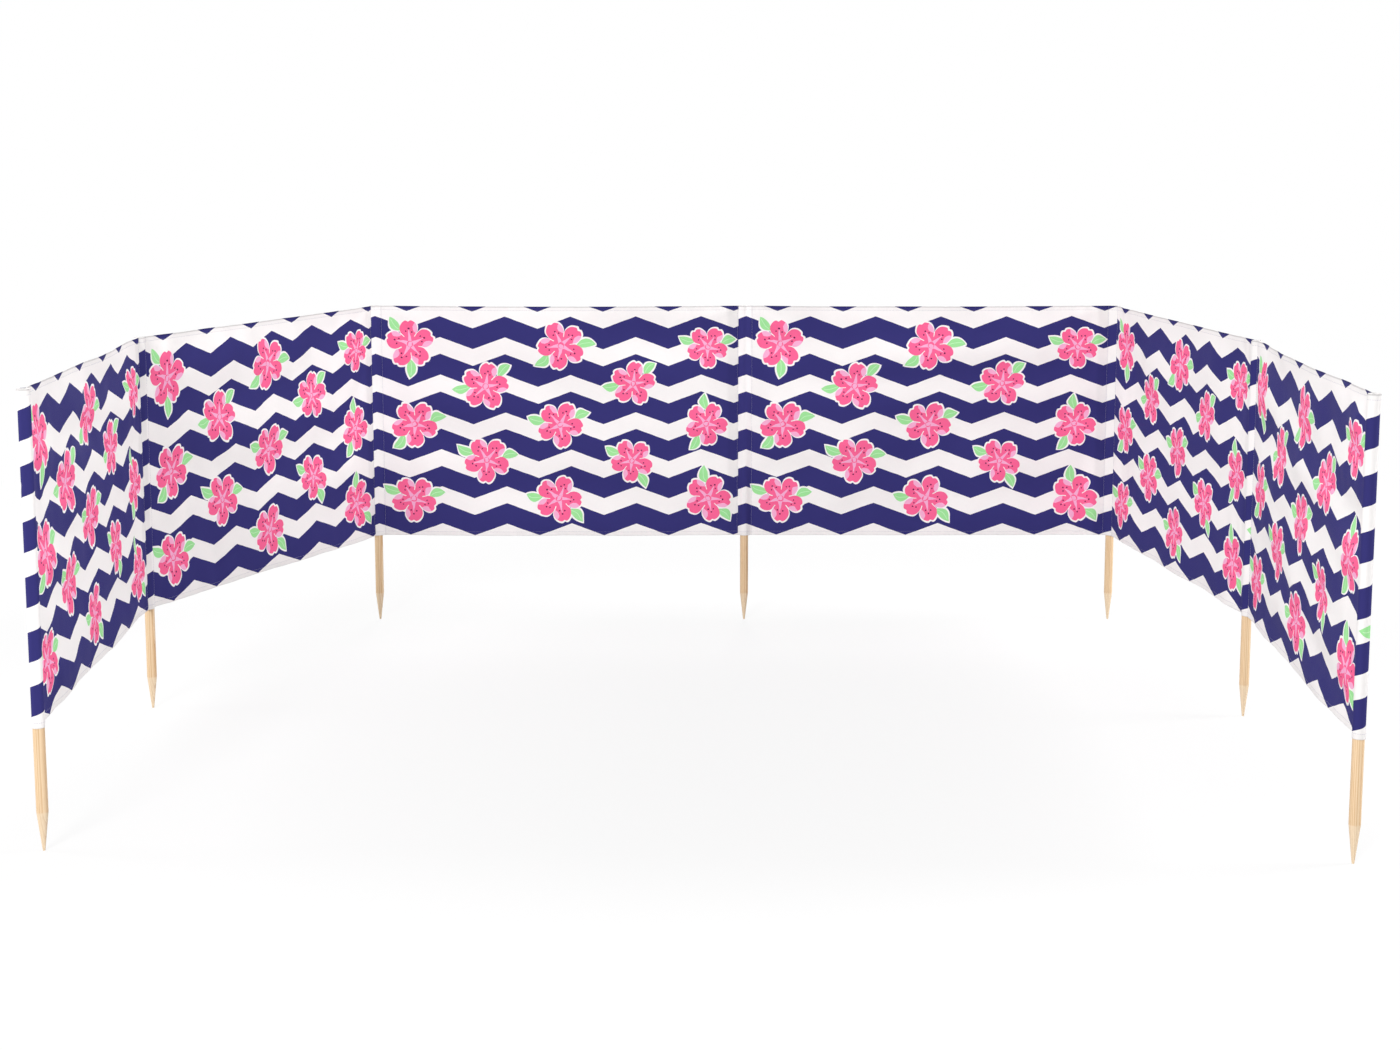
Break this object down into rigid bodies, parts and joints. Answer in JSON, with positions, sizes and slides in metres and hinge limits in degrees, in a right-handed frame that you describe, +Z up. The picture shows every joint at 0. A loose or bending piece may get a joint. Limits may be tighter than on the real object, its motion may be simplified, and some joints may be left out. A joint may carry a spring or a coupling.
{
  "type": "beach windbreak",
  "caption": "Low screen of printed cloth bays stretched between pointed wooden poles in sewn sleeves, set in a U that opens to the front, for shelter from wind on a beach.",
  "frame": {"origin": "centre of the blunt tip of the middle pole", "axes": "+Z up along the poles, +X to the right along the two middle bays, -Y towards the open front of the U"},
  "size_m": [3.2346, 2.5697, 1.1],
  "materials": {
    "pole_wood": "pale pine, sanded, with no varnish",
    "printed_cloth": "woven polyester, printed on the front with a navy and white zigzag and scattered pink blossoms"
  },
  "bodies": {
    "root": {"pole_1": "pole_wood", "pole_2": "pole_wood", "pole_3": "pole_wood", "pole_4": "pole_wood", "pole_5": "pole_wood", "pole_6": "pole_wood", "pole_7": "pole_wood", "sleeve_1": "printed_cloth", "sleeve_2": "printed_cloth", "sleeve_3": "printed_cloth", "sleeve_4": "printed_cloth", "sleeve_5": "printed_cloth", "sleeve_6": "printed_cloth", "sleeve_7": "printed_cloth", "bay_cloth_1": "printed_cloth", "bay_cloth_2": "printed_cloth", "bay_cloth_3": "printed_cloth", "bay_cloth_4": "printed_cloth", "bay_cloth_5": "printed_cloth", "bay_cloth_6": "printed_cloth"}
  },
  "joints": []
}
